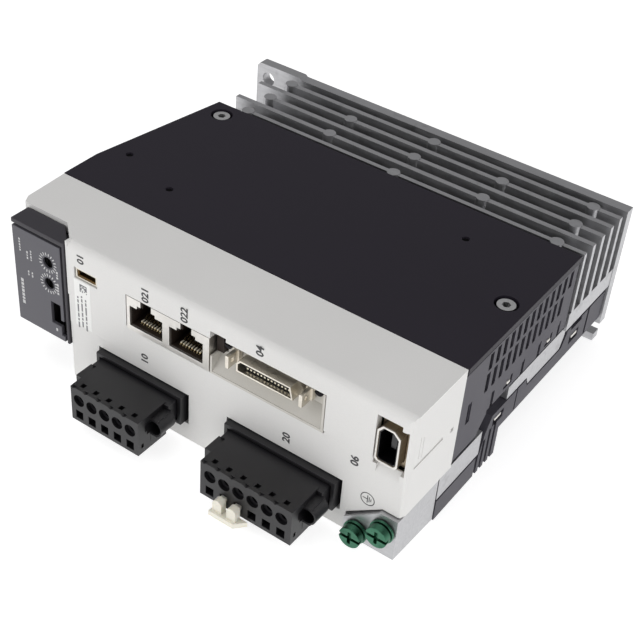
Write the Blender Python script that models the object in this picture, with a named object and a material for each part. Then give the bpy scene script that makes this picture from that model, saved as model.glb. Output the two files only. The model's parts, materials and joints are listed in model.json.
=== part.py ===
"""Servo drive, book format, lying on its left side.

Frame: +X runs down the drive (display end at -X, earth terminal end at +X),
-Y is the front with the connectors, +Y is the mounting plate, +Z is the
drive's right-hand side, which lies uppermost.  All dimensions below are in
millimetres and are turned into metres when a shape is made.
"""
import bpy
import bmesh
from math import pi, cos, sin, radians
from mathutils import Vector, Matrix

# ---------------------------------------------------------------- dimensions
MM = 0.001
LENGTH = 150.0          # housing height, along X
WIDTH = 55.0            # frame width, along Z
DEPTH = 133.0           # front face (Y = 0) to mounting plate back
PLUG_REACH = 17.0       # terminal plugs stand this far in front of the face
LEVER_REACH = 21.0      # operating lever stands this far in front of the face
Y_MID = (DEPTH - LEVER_REACH) / 2.0     # box centre, measured from the front face
GAP = 0.3               # clearance between neighbouring pieces

END_X = 74.6            # outer face of the end walls
WALL = 2.7              # end wall thickness
COVER_Y = 26.7          # white front cover meets the dark case here
CASE_BACK_Y = 95.9      # case meets the heatsink here
TAPER_Y = 42.0          # the display end narrows from here back
TAPER_X = -66.9         # outer face of the display end at the back
TOP_T = 2.1             # thickness of the dark side panel

PLATE_T = 4.0           # mounting plate thickness
FIN_PITCH = 6.46
FIN_T = 2.0
FIN_FIRST_Y = 98.5      # centre of the wall behind the case
FIN_FLOOR = 31.6        # bottom of the channels between the fins
FIN_TOP = 54.3
BOSS_R = 2.3
BOSS_X0, BOSS_PITCH = -56.2, 30.3
HOLE_R = 2.6            # 5.2 mm mounting holes
HOLE_PITCH = 140.0
HOLE_INSET = 5.5

PIN_PITCH = 5.08        # terminal plugs
PLUG_Z0, PLUG_Z1 = 5.3, 18.4
PLUG_A_X = (-32.7, -6.0)
PLUG_B_X = (17.6, 50.0)
HDR_Z0, HDR_Z1 = 9.0, 19.9

ROT_R = 2.35
ROT_X = -56.7
ROT_Z = (43.4, 35.5)

SCREW_PITCH = 0.7       # M4 thread
EARTH_XZ = ((61.7, 6.0), (70.1, 11.9))

# ---------------------------------------------------------------- scene reset
for ob in list(bpy.data.objects):
    bpy.data.objects.remove(ob, do_unlink=True)

scene = bpy.context.scene
parts = bpy.data.collections.new("servo_drive")
tools = bpy.data.collections.new("cutters")
scene.collection.children.link(parts)
scene.collection.children.link(tools)

root = bpy.data.objects.new("servo_drive_root", None)
parts.objects.link(root)
root.location = (0.0, -Y_MID * MM, 0.0)


# ---------------------------------------------------------------- materials
def material(name, colour, rough, metal=0.0):
    m = bpy.data.materials.new(name)
    m.use_nodes = True
    b = m.node_tree.nodes["Principled BSDF"]
    b.inputs["Base Color"].default_value = (*colour, 1.0)
    b.inputs["Roughness"].default_value = rough
    b.inputs["Metallic"].default_value = metal
    m.diffuse_color = (*colour, 1.0)
    return m


ALU = ((0.62, 0.62, 0.63), 0.45, 1.0)
DARK = ((0.045, 0.04, 0.05), 0.6, 0.0)
GREY = ((0.16, 0.155, 0.165), 0.55, 0.0)
WHITE = ((0.70, 0.70, 0.67), 0.5, 0.0)
BLACK = ((0.015, 0.015, 0.017), 0.5, 0.0)
STEEL = ((0.6, 0.59, 0.56), 0.35, 1.0)
GOLD = ((0.75, 0.55, 0.25), 0.35, 1.0)
GREEN = ((0.02, 0.16, 0.09), 0.35, 0.7)
CREAM = ((0.72, 0.68, 0.54), 0.45, 0.0)
BOARD = ((0.03, 0.16, 0.08), 0.5, 0.0)
SLEEVE = ((0.03, 0.03, 0.06), 0.4, 0.0)


# ---------------------------------------------------------------- solids
def bm_box(bm, x0, x1, y0, y1, z0, z1):
    m = Matrix.Translation(Vector(((x0 + x1) / 2, (y0 + y1) / 2, (z0 + z1) / 2)) * MM)
    m = m @ Matrix.Diagonal(((x1 - x0) * MM, (y1 - y0) * MM, (z1 - z0) * MM, 1.0))
    bmesh.ops.create_cube(bm, size=1.0, matrix=m)


def bm_cyl(bm, axis, c, r, length, seg=16, r2=None):
    rot = {"x": Matrix.Rotation(pi / 2, 4, "Y"), "y": Matrix.Rotation(-pi / 2, 4, "X"),
           "z": Matrix.Identity(4)}[axis]
    m = Matrix.Translation(Vector(c) * MM) @ rot
    bmesh.ops.create_cone(bm, cap_ends=True, segments=seg, radius1=r * MM,
                          radius2=(r if r2 is None else r2) * MM, depth=length * MM, matrix=m)


def outline(pts, axis, a0, a1):
    """Mesh of a flat outline, extruded from a0 to a1 along an axis."""
    cu = bpy.data.curves.new("outline", "CURVE")
    cu.dimensions = "2D"
    cu.fill_mode = "BOTH"
    cu.extrude = abs(a1 - a0) / 2 * MM
    sp = cu.splines.new("POLY")
    sp.points.add(len(pts) - 1)
    for p, (u, v) in zip(sp.points, pts):
        p.co = (u * MM, v * MM, 0.0, 1.0)
    sp.use_cyclic_u = True
    ob = bpy.data.objects.new("outline", cu)
    scene.collection.objects.link(ob)
    mid = (a0 + a1) / 2 * MM
    if axis == "z":                     # outline in X, Y
        mat = Matrix.Translation((0, 0, mid))
    elif axis == "y":                   # outline in X, Z
        mat = Matrix.Translation((0, mid, 0)) @ Matrix.Rotation(pi / 2, 4, "X")
    else:                               # outline in Y, Z
        mat = Matrix.Translation((mid, 0, 0)) @ Matrix(((0, 0, 1, 0), (1, 0, 0, 0), (0, 1, 0, 0), (0, 0, 0, 1)))
    bpy.context.view_layer.update()
    dg = bpy.context.evaluated_depsgraph_get()
    me = bpy.data.meshes.new_from_object(ob.evaluated_get(dg))
    bpy.data.objects.remove(ob, do_unlink=True)
    bm = bmesh.new()
    bm.from_mesh(me)
    bmesh.ops.remove_doubles(bm, verts=bm.verts, dist=0.000005)
    bmesh.ops.transform(bm, matrix=mat, verts=bm.verts)
    bmesh.ops.recalc_face_normals(bm, faces=bm.faces)
    bm.to_mesh(me)
    bm.free()
    return me


def add_solid(bm, s):
    kind = s[0]
    if kind == "box":
        bm_box(bm, *s[1:])
    elif kind == "cyl":
        bm_cyl(bm, *s[1:])
    else:
        bm.from_mesh(outline(*s[1:]))


def mesh_of(name, solids, origin=(0, 0, 0)):
    bm = bmesh.new()
    for s in solids:
        add_solid(bm, s)
    bmesh.ops.translate(bm, verts=bm.verts, vec=-Vector(origin) * MM)
    me = bpy.data.meshes.new(name)
    bm.to_mesh(me)
    bm.free()
    return me


def piece(name, solids, look, origin=(0, 0, 0), smooth=False, parent=None):
    """A named object made from one or more solids, with its origin given in mm."""
    me = mesh_of(name, solids, origin)
    me.materials.append(material(name + "_mat", *look))
    if smooth:
        me.shade_smooth()
        me.set_sharp_from_angle(angle=radians(35))
    ob = bpy.data.objects.new(name, me)
    parts.objects.link(ob)
    ob.parent = parent or root
    po = Vector(parent["origin_mm"]) if parent else Vector((0, 0, 0))
    ob.location = (Vector(origin) - po) * MM
    ob["origin_mm"] = tuple(origin)
    return ob


def boolean(ob, solids, op):
    """Join or cut with one cutter object made of solids that don't touch."""
    me = mesh_of("tool", solids, ob["origin_mm"])
    c = bpy.data.objects.new("tool_%s_%d" % (ob.name, len(ob.modifiers)), me)
    tools.objects.link(c)
    c.parent = ob
    c.hide_render = True
    c.display_type = "WIRE"
    m = ob.modifiers.new(op.lower(), "BOOLEAN")
    m.operation = op
    m.solver = "EXACT"
    m.object = c
    return ob


def cut(ob, *solids):
    return boolean(ob, solids, "DIFFERENCE")


def join(ob, *solids):
    return boolean(ob, solids, "UNION")


def rounded(cx, cy, w, h, r, n=3):
    pts = []
    for k, (sx, sy) in enumerate(((1, 1), (-1, 1), (-1, -1), (1, -1))):
        for i in range(n + 1):
            a = pi / 2 * (k + i / n)
            pts.append((cx + sx * (w / 2 - r) + r * cos(a), cy + sy * (h / 2 - r) + r * sin(a)))
    return pts


# ================================================================ heatsink
fin_y = [FIN_FIRST_Y + FIN_PITCH * i for i in range(5)]     # wall, then four fins
plate_y0 = DEPTH - PLATE_T
fin_root = 24.6
hs = piece("heatsink_chassis", [("box", -66.0, 75.0, 96.9, plate_y0 + 1.0, fin_root, FIN_FLOOR)], ALU)
# mounting plate with the raised, clipped ear at the display end
join(hs, ("out", [(-75.2, 1.0), (-73.4, 0.0), (75.2, 0.0), (75.2, FIN_TOP), (-55.2, FIN_TOP),
                  (-56.0, WIDTH), (-74.0, WIDTH), (-75.2, 53.6)], "y", plate_y0, DEPTH))
# wall and fins
join(hs, *[("box", -58.4 if i % 2 == 0 else -65.8, 75.0,
            y - (0.7 if i == 0 else 1.0) * FIN_T / 2, y + FIN_T / 2, FIN_FLOOR - 0.6, FIN_TOP)
           for i, y in enumerate(fin_y)])
# the wall reaches down to the chassis floor
join(hs, ("out", [(-59.8, 2.3), (63.1, 2.3), (63.1, 13.7), (71.2, 13.7), (71.2, fin_root + 1.0),
                  (-59.8, fin_root + 1.0)], "y", 97.5, 99.2))
# round bosses along the fins
bosses = []
for i, y in enumerate(fin_y):
    for k in range(5):
        if (i + k) % 2 == 0:
            bosses.append(("cyl", "z", (BOSS_X0 + BOSS_PITCH * k, y, (FIN_FLOOR + 55.0) / 2 - 0.4),
                           BOSS_R, 55.0 - FIN_FLOOR, 12))
join(hs, *bosses)
# short ribs that tie the fins together at the display end
join(hs, ("box", -59.0, -57.2, fin_y[4], plate_y0 + 0.5, FIN_FLOOR - 0.5, 46.0),
     ("box", -59.0, -57.2, fin_y[2], fin_y[3], FIN_FLOOR - 0.5, 46.0),
     ("box", -59.0, -57.2, fin_y[0], fin_y[1], FIN_FLOOR - 0.5, 46.0))
# chassis floor, end sheets and the earth flange
join(hs, ("out", [(-70.4, 14.0), (-54.0, 14.0), (-48.6, 3.2), (70.4, 3.2), (70.4, 55.4), (63.4, 55.4), (63.4, 98.0), (-62.0, 98.0),
                  (-70.4, TAPER_Y)], "z", 2.1, 5.1))
join(hs, ("box", 69.2, 71.4, 3.4, 46.4, 2.2, 19.0),
     ("out", [(-70.8, 14.2), (-68.8, 14.2), (-68.8, TAPER_Y), (-60.4, 98.2), (-62.4, 98.2), (-70.8, TAPER_Y)],
      "z", 2.2, 17.4))
join(hs, ("out", [(46.0, 2.4), (55.3, 2.4), (55.3, 13.4), (98.1, 13.4), (98.1, 25.9), (46.0, 25.9)], "x", 69.0, 71.3))
# faces of the chassis that show between the covers at the +X end
join(hs, ("out", [(-0.9, 2.2), (20.8, 0.6), (20.8, 17.4), (-0.9, 17.4)], "x", 57.0, 74.3))
cut(hs, ("box", 40.0, 71.6, 2.4, 22.0, 5.1, 30.0))
cut(hs, ("out", [(50.0, 8.6), (57.0, 8.6), (68.2, 17.2), (68.2, 20.0), (50.0, 20.0)], "y", -3.0, 4.0))
join(hs, ("box", 71.0, 74.3, 21.5, 46.0, 8.2, 17.6),
     ("out", [(60.0, 20.7), (73.0, 20.7), (74.6, 17.3), (96.2, 17.3), (98.4, 22.0), (98.4, 25.6), (60.0, 25.6)],
      "x", 70.9, 74.3))
# mounting hole and U slot
cut(hs, ("cyl", "y", (-HOLE_PITCH / 2, DEPTH - 2, WIDTH - HOLE_INSET), HOLE_R, 20, 24),
    ("cyl", "y", (HOLE_PITCH / 2, DEPTH - 2, HOLE_INSET), HOLE_R, 12, 24))
cut(hs, ("box", HOLE_PITCH / 2, 90, DEPTH - 6, DEPTH + 4, HOLE_INSET - HOLE_R, HOLE_INSET + HOLE_R))
# threaded holes for the earth screws
cut(hs, *[("cyl", "y", (x, 0.5, z), 1.95, 8.0, 16) for x, z in EARTH_XZ])

# ================================================================ dark case
case = piece("case_body", [("out", [(-END_X, COVER_Y + GAP), (END_X, COVER_Y + GAP), (END_X, CASE_BACK_Y),
                                    (TAPER_X, CASE_BACK_Y), (-END_X, TAPER_Y)], "z", 19.8, 52.6)], GREY)
cut(case, ("out", [(-END_X + WALL, COVER_Y - 2), (END_X - WALL, COVER_Y - 2), (END_X - WALL, CASE_BACK_Y + 3),
                   (TAPER_X + WALL - 0.4, CASE_BACK_Y + 3), (-END_X + WALL, TAPER_Y + 0.3)], "z", 10.0, 49.6))
cut(case, ("out", [(-68.0, 31.0), (70.0, 31.0), (70.0, 92.0), (-62.0, 92.0), (-68.0, 44.0)], "z", 40.0, 60.0))
# stepped lower edge of the end walls
cut(case, ("out", [(41.0, 10.0), (41.0, 20.8), (46.0, 26.3), (105.0, 26.3), (105.0, 10.0)], "x", 60.0, 90.0),
    ("out", [(41.0, 10.0), (41.0, 20.8), (46.0, 22.3), (105.0, 22.3), (105.0, 10.0)], "x", -90.0, -55.0))
# ventilation slots, two rows in each end wall
vy = [41.8 + 4.17 * k for k in range(13)]
slots = [("box", 68.0, 80.0, y - 0.85, y + 0.85, 45.0, 49.2) for y in vy]
slots += [("box", 68.0, 80.0, y - 0.85, y + 0.85, 36.4, 42.6) for y in vy[:12]]
slots += [("box", 68.0, 80.0, 32.2, 33.2, 31.2, 38.2)]
slots += [("box", 68.0, 80.0, y - 0.45, y + 0.45, 23.0, 32.5) for y in (48.0, 67.0, 77.7, 90.9)]
cut(case, *slots)
cut(case, *[("box", -80.0, -60.0, y - 0.85, y + 0.85, 30.0, 47.0) for y in vy[1:11]])

panel = piece("side_cover", [("out", [(-74.9, COVER_Y + GAP), (74.9, COVER_Y + GAP), (75.0, CASE_BACK_Y),
                                      (TAPER_X, CASE_BACK_Y), (-75.0, TAPER_Y)], "z", 52.9, WIDTH)], DARK)
SCREW_XY = ((-60.6, 89.3), (68.4, 59.6))
cut(panel, *[("cyl", "z", (x, y, 55.0), 3.3, 8.0, 24) for x, y in SCREW_XY],
    *[("cyl", "z", (x, y, 55.2), 1.0, 2.0, 12) for x, y in ((-66.8, 48.9), (-43.6, 41.6), (42.7, 80.2))])
for n, (x, y) in enumerate(SCREW_XY):
    join(case, ("cyl", "z", (x - (1.4 if x > 0 else -0.6), y, 46.0), 3.4, 12.0, 16))
    cut(case, ("cyl", "z", (x, y, 50.0), 1.9, 12.0, 12))
    s = piece("case_screw_%d" % (n + 1), [("cyl", "z", (x, y, 53.8), 2.9, 1.5, 24)], STEEL, (x, y, 53.8), True)
    join(s, ("cyl", "z", (x, y, 50.5), 1.5, 6.0, 12))
    cut(s, ("cyl", "z", (x, y, 55.0), 1.3, 2.6, 6))

# ================================================================ lower cover
lc = piece("lower_cover", [("out", [(-73.9, 21.3), (74.5, 21.3), (74.5, 128.6), (TAPER_X + 1, 128.6),
                                    (TAPER_X, CASE_BACK_Y), (-73.9, TAPER_Y)], "z", 0.0, 22.4)], GREY)
cut(lc, ("out", [(-71.2, 15.0), (71.8, 15.0), (71.8, 140.0), (-63.3, 140.0), (-63.3, 96.0), (-71.2, TAPER_Y)],
         "z", 1.8, 30.0))
cut(lc, ("out", [(15.0, 7.8), (46.4, 7.8), (48.0, 15.0), (51.0, 20.3), (72.5, 20.3), (74.0, 16.9), (97.4, 16.9),
                 (100.0, 21.3), (101.0, 30.0), (15.0, 30.0)], "x", 70.0, 80.0),
    ("out", [(15.0, 16.0), (135.0, 16.0), (135.0, 30.0), (15.0, 30.0)], "x", -80.0, -60.0))
# screwdriver channel along the lower edge, in line with the mounting plate's U slot
CH_X, CH_Z, CH_Y = 66.4, 11.0, 57.6
join(lc, ("box", CH_X - 1.8, 73.0, CH_Y - 1.8, 128.3, 0.7, CH_Z + 1.5))
cut(lc, ("box", CH_X, 80.0, CH_Y, 135.0, -1.0, CH_Z))
cut(lc, *[("box", 60.0, 80.0, y, y + 1.5, -1.0, z) for y, z in ((44.5, 9.0), (47.6, 12.5), (50.7, 15.0), (53.8, 15.0))])
cut(lc, ("box", 70.0, 80.0, 66.6, 67.4, 11.8, 22.0), ("box", 70.0, 80.0, 115.8, 116.6, 12.2, 30.0),
    ("box", 70.0, 80.0, 54.4, 59.0, 16.6, 18.3), ("box", 70.0, 80.0, 104.5, 109.0, 16.6, 18.3))
cut(lc, *[("box", x, x + 14.0, 40.0 + 12 * k, 44.0 + 12 * k, -1.0, 3.0) for k in range(4) for x in (-52, -30, -8, 14, 36)])

# ================================================================ white front cover
fc = piece("front_cover", [("out", [(-74.6, COVER_Y), (-73.9, 10.2), (-72.4, 7.4), (-48.7, 7.4),
                                    (-48.7, 0.0), (72.2, 0.0), (73.9, 0.7), (74.6, 2.4), (74.7, COVER_Y)], "z", 17.8, WIDTH)], WHITE)
join(fc, ("box", -48.6, 71.9, 0.2, 2.45, 2.2, 20.0))
cut(fc, ("out", [(-71.9, 28.0), (-71.3, 9.8), (-46.0, 9.8), (-46.0, 2.6), (72.0, 2.6), (72.0, 28.0)],
         "z", 12.0, 52.6))
cut(fc, ("box", -64.5, -50.8, 7.0, 10.4, 17.0, 51.0))
# soft front edge, and the lower half set back a little below the parting step
R = 2.8
arc = [(R - R * sin(pi / 2 * k / 5), WIDTH - R + R * cos(pi / 2 * k / 5)) for k in range(6)]
cut(fc, ("out", [(-2.0, 57.0), (R, 57.0)] + arc + [(-2.0, WIDTH - R)], "x", -48.0, 80.0))
cut(fc, ("box", -60.0, 80.0, -1.0, 0.45, 0.0, 35.3))
cut(fc, ("out", [(56.7, 0.0), (56.7, 9.4), (68.3, 17.8), (80.0, 17.8), (80.0, 0.0)], "y", -1.0, 10.0))
# shoulder that wraps the upper corner of the display box
join(fc, ("out", [(-55.6, 8.2), (-48.4, 1.83), (-47.0, 1.83), (-47.0, 9.0), (-55.6, 9.0)], "z", 51.4, 54.95))
# sloped pocket under the encoder socket
cut(fc, ("out", [(-1.0, 29.4), (0.45, 30.2), (2.2, 33.4), (6.0, 33.4), (6.0, 34.5), (-1.0, 34.5)], "x", 64.4, 72.0))
# openings for the connectors
cut(fc, ("out", [(-25.1, 33.9), (47.0, 33.9), (47.0, 48.3), (12.4, 48.3), (12.4, 49.6), (6.7, 49.6), (6.7, 46.8),
                 (-25.1, 46.8)], "y", -1.0, 5.0),
    ("box", -45.6, -36.4, -1.0, 5.0, 42.9, 47.1),
    ("out", [(63.2, 33.2), (73.2, 33.2), (73.2, 49.4), (71.2, 49.4), (71.2, 51.0), (63.2, 51.0)], "y", -1.0, 5.0),
    ("box", -37.2, -1.2, -1.0, 5.0, 8.6, HDR_Z1 + 0.4), ("box", 13.2, 54.6, -1.0, 5.0, 8.6, HDR_Z1 + 0.4))

# recessed tray that carries the I/O connector
tray = piece("io_recess", [("box", 6.9, 46.7, 0.0, 7.4, 34.2, 48.0)], WHITE)
cut(tray, ("out", [(-1.0, 35.0), (0.3, 35.0), (4.6, 39.6), (4.6, 50.0), (-1.0, 50.0)], "x", 7.6, 46.0))
cut(tray, ("box", 16.4, 37.6, -2.0, 10.0, 40.3, 46.3), ("box", 2.0, 10.0, -2.0, 10.0, 40.6, 50.0),
    ("cyl", "y", (11.9, 5.0, 45.2), 1.25, 8.0, 20))

# ================================================================ display end
bz = piece("display_bezel", [("box", -70.9, -49.0, -0.4, 7.1, 15.0, 53.8)], DARK)
cut(bz, ("box", -72.0, -50.0, -2.0, 1.2, 14.0, 52.2))
cut(bz, ("out", [(-56.6, 8.0), (-48.0, 0.4), (-48.0, 8.0)], "z", 51.1, 56.0))
cut(bz, ("box", -65.0, -50.8, 1.0, 10.0, 17.5, 50.6))
fp = piece("display_faceplate", [("box", -70.85, -50.9, -0.35, 0.85, 15.05, 51.2)], GREY)
cut(fp, *[("cyl", "y", (ROT_X, 0.0, z), ROT_R + 0.35, 6.0, 24) for z in ROT_Z],
    ("out", [(-56.2, 28.8), (-52.2, 28.8), (-52.2, 23.0), (-49.0, 23.0), (-49.0, 17.0), (-52.2, 17.0), (-52.2, 20.4), (-56.2, 20.4)], "y", -2.0, 3.0))
for n, z in enumerate(ROT_Z):
    body = piece("rotary_switch_%d" % (n + 1), [("box", ROT_X - 3.6, ROT_X + 3.6, 1.6, 7.0, z - 3.6, z + 3.6)], BLACK)
    cut(body, ("cyl", "y", (ROT_X, 1.6, z), ROT_R + 0.3, 3.6, 24))
    dial = piece("rotary_dial_%d" % (n + 1), [("cyl", "y", (ROT_X, 1.75, z), ROT_R, 2.3, 24)], BLACK,
                 (ROT_X, 1.75, z), True)
    cut(dial, ("box", ROT_X - 0.45, ROT_X + 0.45, -1.0, 1.6, z - 3, z + 3))
hd = piece("monitor_header", [("box", -56.9, -51.3, 1.2, 8.4, 17.9, 29.4)], BLACK)
cut(hd, ("box", -56.2, -52.0, 0.0, 7.2, 18.6, 28.7))
mp = piece("monitor_contacts", [("box", -54.7, -53.5, 8.7, 9.3, 19.6, 27.7)], GOLD)
cut(hd, *[("box", -54.6, -53.6, 7.0, 9.0, 19.9 + 2.0 * k, 20.7 + 2.0 * k) for k in range(4)])
join(mp, *[("box", -54.4, -53.8, 3.4, 9.0, 20.1 + 2.0 * k, 20.5 + 2.0 * k) for k in range(4)])
db = piece("display_board", [("box", -68.6, -34.4, 10.1, 11.6, 20.4, 50.0)], BOARD)
us = piece("usb_shell", [("box", -45.2, -36.8, 0.4, 9.8, 43.2, 46.8)], STEEL)
cut(us, ("box", -44.7, -37.3, -1.0, 8.9, 43.7, 46.3))
piece("usb_tongue", [("box", -43.6, -38.4, 2.6, 8.6, 44.5, 45.5)], BLACK)

# ================================================================ network sockets
ls = piece("lan_shield", [("box", -24.8, 6.4, 0.05, 15.4, 34.2, 46.5)], WHITE)
lan = []
for x in (-17.35, -2.2):
    lan += [("out", [(x - 6.25, 36.0), (x + 6.25, 36.0), (x + 6.25, 43.2), (x + 3.4, 43.2), (x + 3.4, 44.3),
                     (x + 2.0, 44.3), (x + 2.0, 47.0), (x - 2.0, 47.0), (x - 2.0, 44.3), (x - 3.4, 44.3),
                     (x - 3.4, 43.2), (x - 6.25, 43.2)], "y", -1.0, 13.0)]
cut(ls, *lan)
for n, x in enumerate((-17.35, -2.2)):
    li = piece("lan_insert_%d" % (n + 1), [("box", x - 5.9, x + 5.9, 7.6, 12.7, 36.3, 37.5)], BLACK)
    join(li, ("box", x - 5.9, x + 5.9, 11.6, 12.7, 37.0, 42.9))
    lcn = piece("lan_contacts_%d" % (n + 1), [("box", x - 4.2, x + 4.2, 10.3, 11.2, 39.3, 40.1)], GOLD)
    join(lcn, *[("out", [(1.9, 36.5), (2.2, 36.5), (10.9, 39.5), (10.9, 39.9), (1.9, 36.85)], "x",
                 x - 3.8 + 1.02 * k, x - 3.35 + 1.02 * k) for k in range(8)])

# ================================================================ I/O connector
sh_pts = [(17.1, 41.2), (37.0, 41.2), (35.9, 45.6), (18.4, 45.6), (17.1, 44.2)]
iosh = piece("io_shell", [("out", sh_pts, "y", -1.2, 8.2)], STEEL)
cut(iosh, ("out", [(17.7, 41.75), (36.3, 41.75), (35.4, 45.05), (18.7, 45.05), (17.7, 44.0)], "y", -3.0, 7.4))
join(iosh, ("box", 14.4, 39.8, 7.8, 9.0, 38.8, 47.4))
ioin = piece("io_insert", [("box", 18.9, 35.0, 0.6, 7.1, 42.1, 44.5)], BLACK)
cut(ioin, ("box", 19.5, 34.4, 0.0, 5.2, 43.1, 44.0))
for n, x in enumerate((14.1, 39.7)):
    lp = piece("io_latch_%d" % (n + 1), [("box", x - 0.6, x + 0.6, -1.6, 4.2, 40.8, 45.2)], STEEL)
    join(lp, ("box", x - 1.2, x + 1.2, 2.6, 4.2, 40.8, 45.2))
    cut(lp, ("box", x - 1.0, x + 1.0, -0.2, 1.2, 42.2, 43.8))
sx = 42.6
ios = piece("io_screw", [("cyl", "y", (sx, 3.6, 45.0), 1.5, 1.4, 20)], STEEL, (sx, 3.6, 45.0), True)
cut(ios, ("box", sx - 2, sx + 2, 2.0, 3.5, 44.8, 45.2))

# ================================================================ encoder socket
ENC = [(63.8, 35.8), (64.6, 35.0), (70.2, 34.9), (71.0, 35.8), (71.0, 46.0), (68.9, 47.9), (65.4, 47.9), (63.8, 46.0)]
es = piece("encoder_shell", [("out", ENC, "y", 0.0, 12.0)], STEEL)
cut(es, ("out", [(67.4 + (x - 67.4) * 0.84, 41.4 + (z - 41.4) * 0.91) for x, z in ENC], "y", -2.0, 11.2))
ei = piece("encoder_insert", [("box", 66.6, 68.5, 3.2, 10.9, 38.6, 44.8)], BLACK)


# ================================================================ terminal headers and plugs
def terminal(prefix, x0, x1, poles):
    mid = (x0 + x1) / 2
    # header: rear shroud behind the cover, flange in front of it, open to the front, with blades
    h0, h1 = x0 - 3.6, x1 + 3.6
    hdr = piece(prefix + "_header", [("box", h0, h1, -1.9, 12.4, 9.0, HDR_Z1)], BLACK)
    cut(hdr, ("box", h0 + 1.4, h1 - 1.4, -4.0, 10.8, 10.4, HDR_Z1 - 1.4))
    join(hdr, *[("box", mid + PIN_PITCH * (k - (poles - 1) / 2) - 0.5, mid + PIN_PITCH * (k - (poles - 1) / 2) + 0.5,
                 1.2, 11.4, 13.4, 14.8) for k in range(poles)])
    yf = -PLUG_REACH
    plug = piece(prefix + "_plug", [("box", x0, x1, yf, -4.4, PLUG_Z0, PLUG_Z1)], BLACK)
    join(plug, ("box", h0 + 1.8, h1 - 1.8, -5.4, 9.6, 10.8, HDR_Z1 - 1.8))
    cx = [mid + PIN_PITCH * (k - (poles - 1) / 2) for k in range(poles)]
    cut(plug, *[("cyl", "y", (x, yf, 13.9), 2.1, 12.0, 20) for x in cx],
        *[("box", x - 1.45, x + 1.45, yf - 1, yf + 5.0, 6.6, 9.7) for x in cx])
    cut(plug, *[("box", x - 0.8, x + 0.8, 0.6, 12.0, 13.1, 15.1) for x in cx])
    cut(plug, *[("box", x - 0.8, x + 0.8, yf + 1.5, yf + 3.1, 17.0, 20.0) for x in cx])
    # grips at each side, with a finger recess
    join(plug, ("box", x0 - 3.0, x0 + 0.5, -11.4, -4.8, 10.0, 17.2), ("box", x1 - 0.5, x1 + 2.6, -11.4, -4.8, 7.6, 16.6))
    cut(plug, ("cyl", "y", (x1 + 1.4, -11.4, 14.4), 2.2, 5.0, 20), ("box", x1 - 0.6, x1 + 0.6, -15.6, -14.6, 7.4, 9.0))
    cut(plug, ("cyl", "x", (x1 + 2.6, -9.4, 14.6), 1.9, 3.0, 20))
    return cx


pins_a = terminal("power", *PLUG_A_X, 5)
pins_b = terminal("motor", *PLUG_B_X, 6)

# operating lever clipped into the second and third test openings of the motor plug
lx = (pins_b[1], pins_b[2])
yf = -PLUG_REACH
PIVOT = (sum(lx) / 2, yf - 1.9, 8.2)
lv = piece("clamp_lever", [("out", [(23.9, -21.0), (32.7, -21.0), (35.6, -17.7), (24.4, -17.7)], "z", 3.7, 5.5)], CREAM, PIVOT, True)
for x in lx:
    join(lv, ("box", x - 1.6, x + 1.6, yf - 3.05, yf - 0.75, 4.6, 8.3))
    join(lv, ("cyl", "y", (x, yf - 1.9, 8.2), 1.65, 2.2, 20))
    join(lv, ("box", x - 1.0, x + 1.0, yf - 1.5, yf + 3.6, 7.7, 8.8))

# ================================================================ earth screws
for n, (x, z) in enumerate(EARTH_XZ):
    w = piece("earth_washer_%d" % (n + 1), [("cyl", "y", (x, -1.7, z), 3.9, 0.9, 24)], GREEN, (x, -1.7, z), True)
    cut(w, ("cyl", "y", (x, -1.7, z), 2.1, 4.0, 16))
    s = piece("earth_screw_%d" % (n + 1), [("cyl", "y", (x, -3.7, z), 3.5, 2.5, 24)], GREEN, (x, -3.7, z), True)
    join(s, ("cyl", "y", (x, 0.0, z), 1.6, 7.4, 12))
    cut(s, ("box", x - 4, x + 4, -6.0, -3.6, z - 0.5, z + 0.5))
    cut(s, ("box", x - 0.5, x + 0.5, -6.0, -3.6, z - 2.2, z + 2.2))

# ================================================================ boards and components
piece("power_board", [("box", -59.5, 63.0, 13.0, 94.0, 7.6, 8.6)], BOARD)
cb = piece("control_board", [("out", [(-63.0, 13.4), (68.6, 13.4), (68.6, 94.0), (-60.0, 94.0), (-63.0, 60.0)],
                              "z", 32.0, 33.4)], BOARD)
piece("power_module", [("box", -20.0, 26.0, 58.0, 90.0, 5.4, 7.3)], BLACK)
piece("bus_capacitor_1", [("cyl", "y", (-48.0, 66.0, 19.6), 10.6, 40.0, 24)], SLEEVE, smooth=True)
piece("bus_capacitor_2", [("cyl", "y", (-24.0, 66.0, 19.6), 10.6, 40.0, 24)], SLEEVE, smooth=True)
piece("relay", [("box", -40.0, -21.0, 17.0, 32.0, 8.9, 24.0)], BLACK)
tr = piece("transformer", [("box", 40.0, 60.0, 60.0, 78.0, 8.9, 26.0)], BLACK)
join(tr, ("box", 37.0, 63.0, 65.0, 73.0, 12.0, 23.0))
piece("board_connector", [("box", -6.0, 20.0, 46.0, 51.0, 8.9, 31.7)], BLACK)
for n, (x, y) in enumerate(((-56.0, 18.0), (60.0, 18.0), (60.0, 90.0))):
    piece("standoff_%d" % (n + 1), [("cyl", "z", (x, y, 20.3), 2.4, 22.8, 12)], STEEL, smooth=True)
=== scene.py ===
"""Looks of the servo drive: materials, fine geometry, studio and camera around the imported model."""
import bpy
import bmesh
import json
from math import pi, cos, sin, radians
from mathutils import Vector, Matrix


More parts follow.
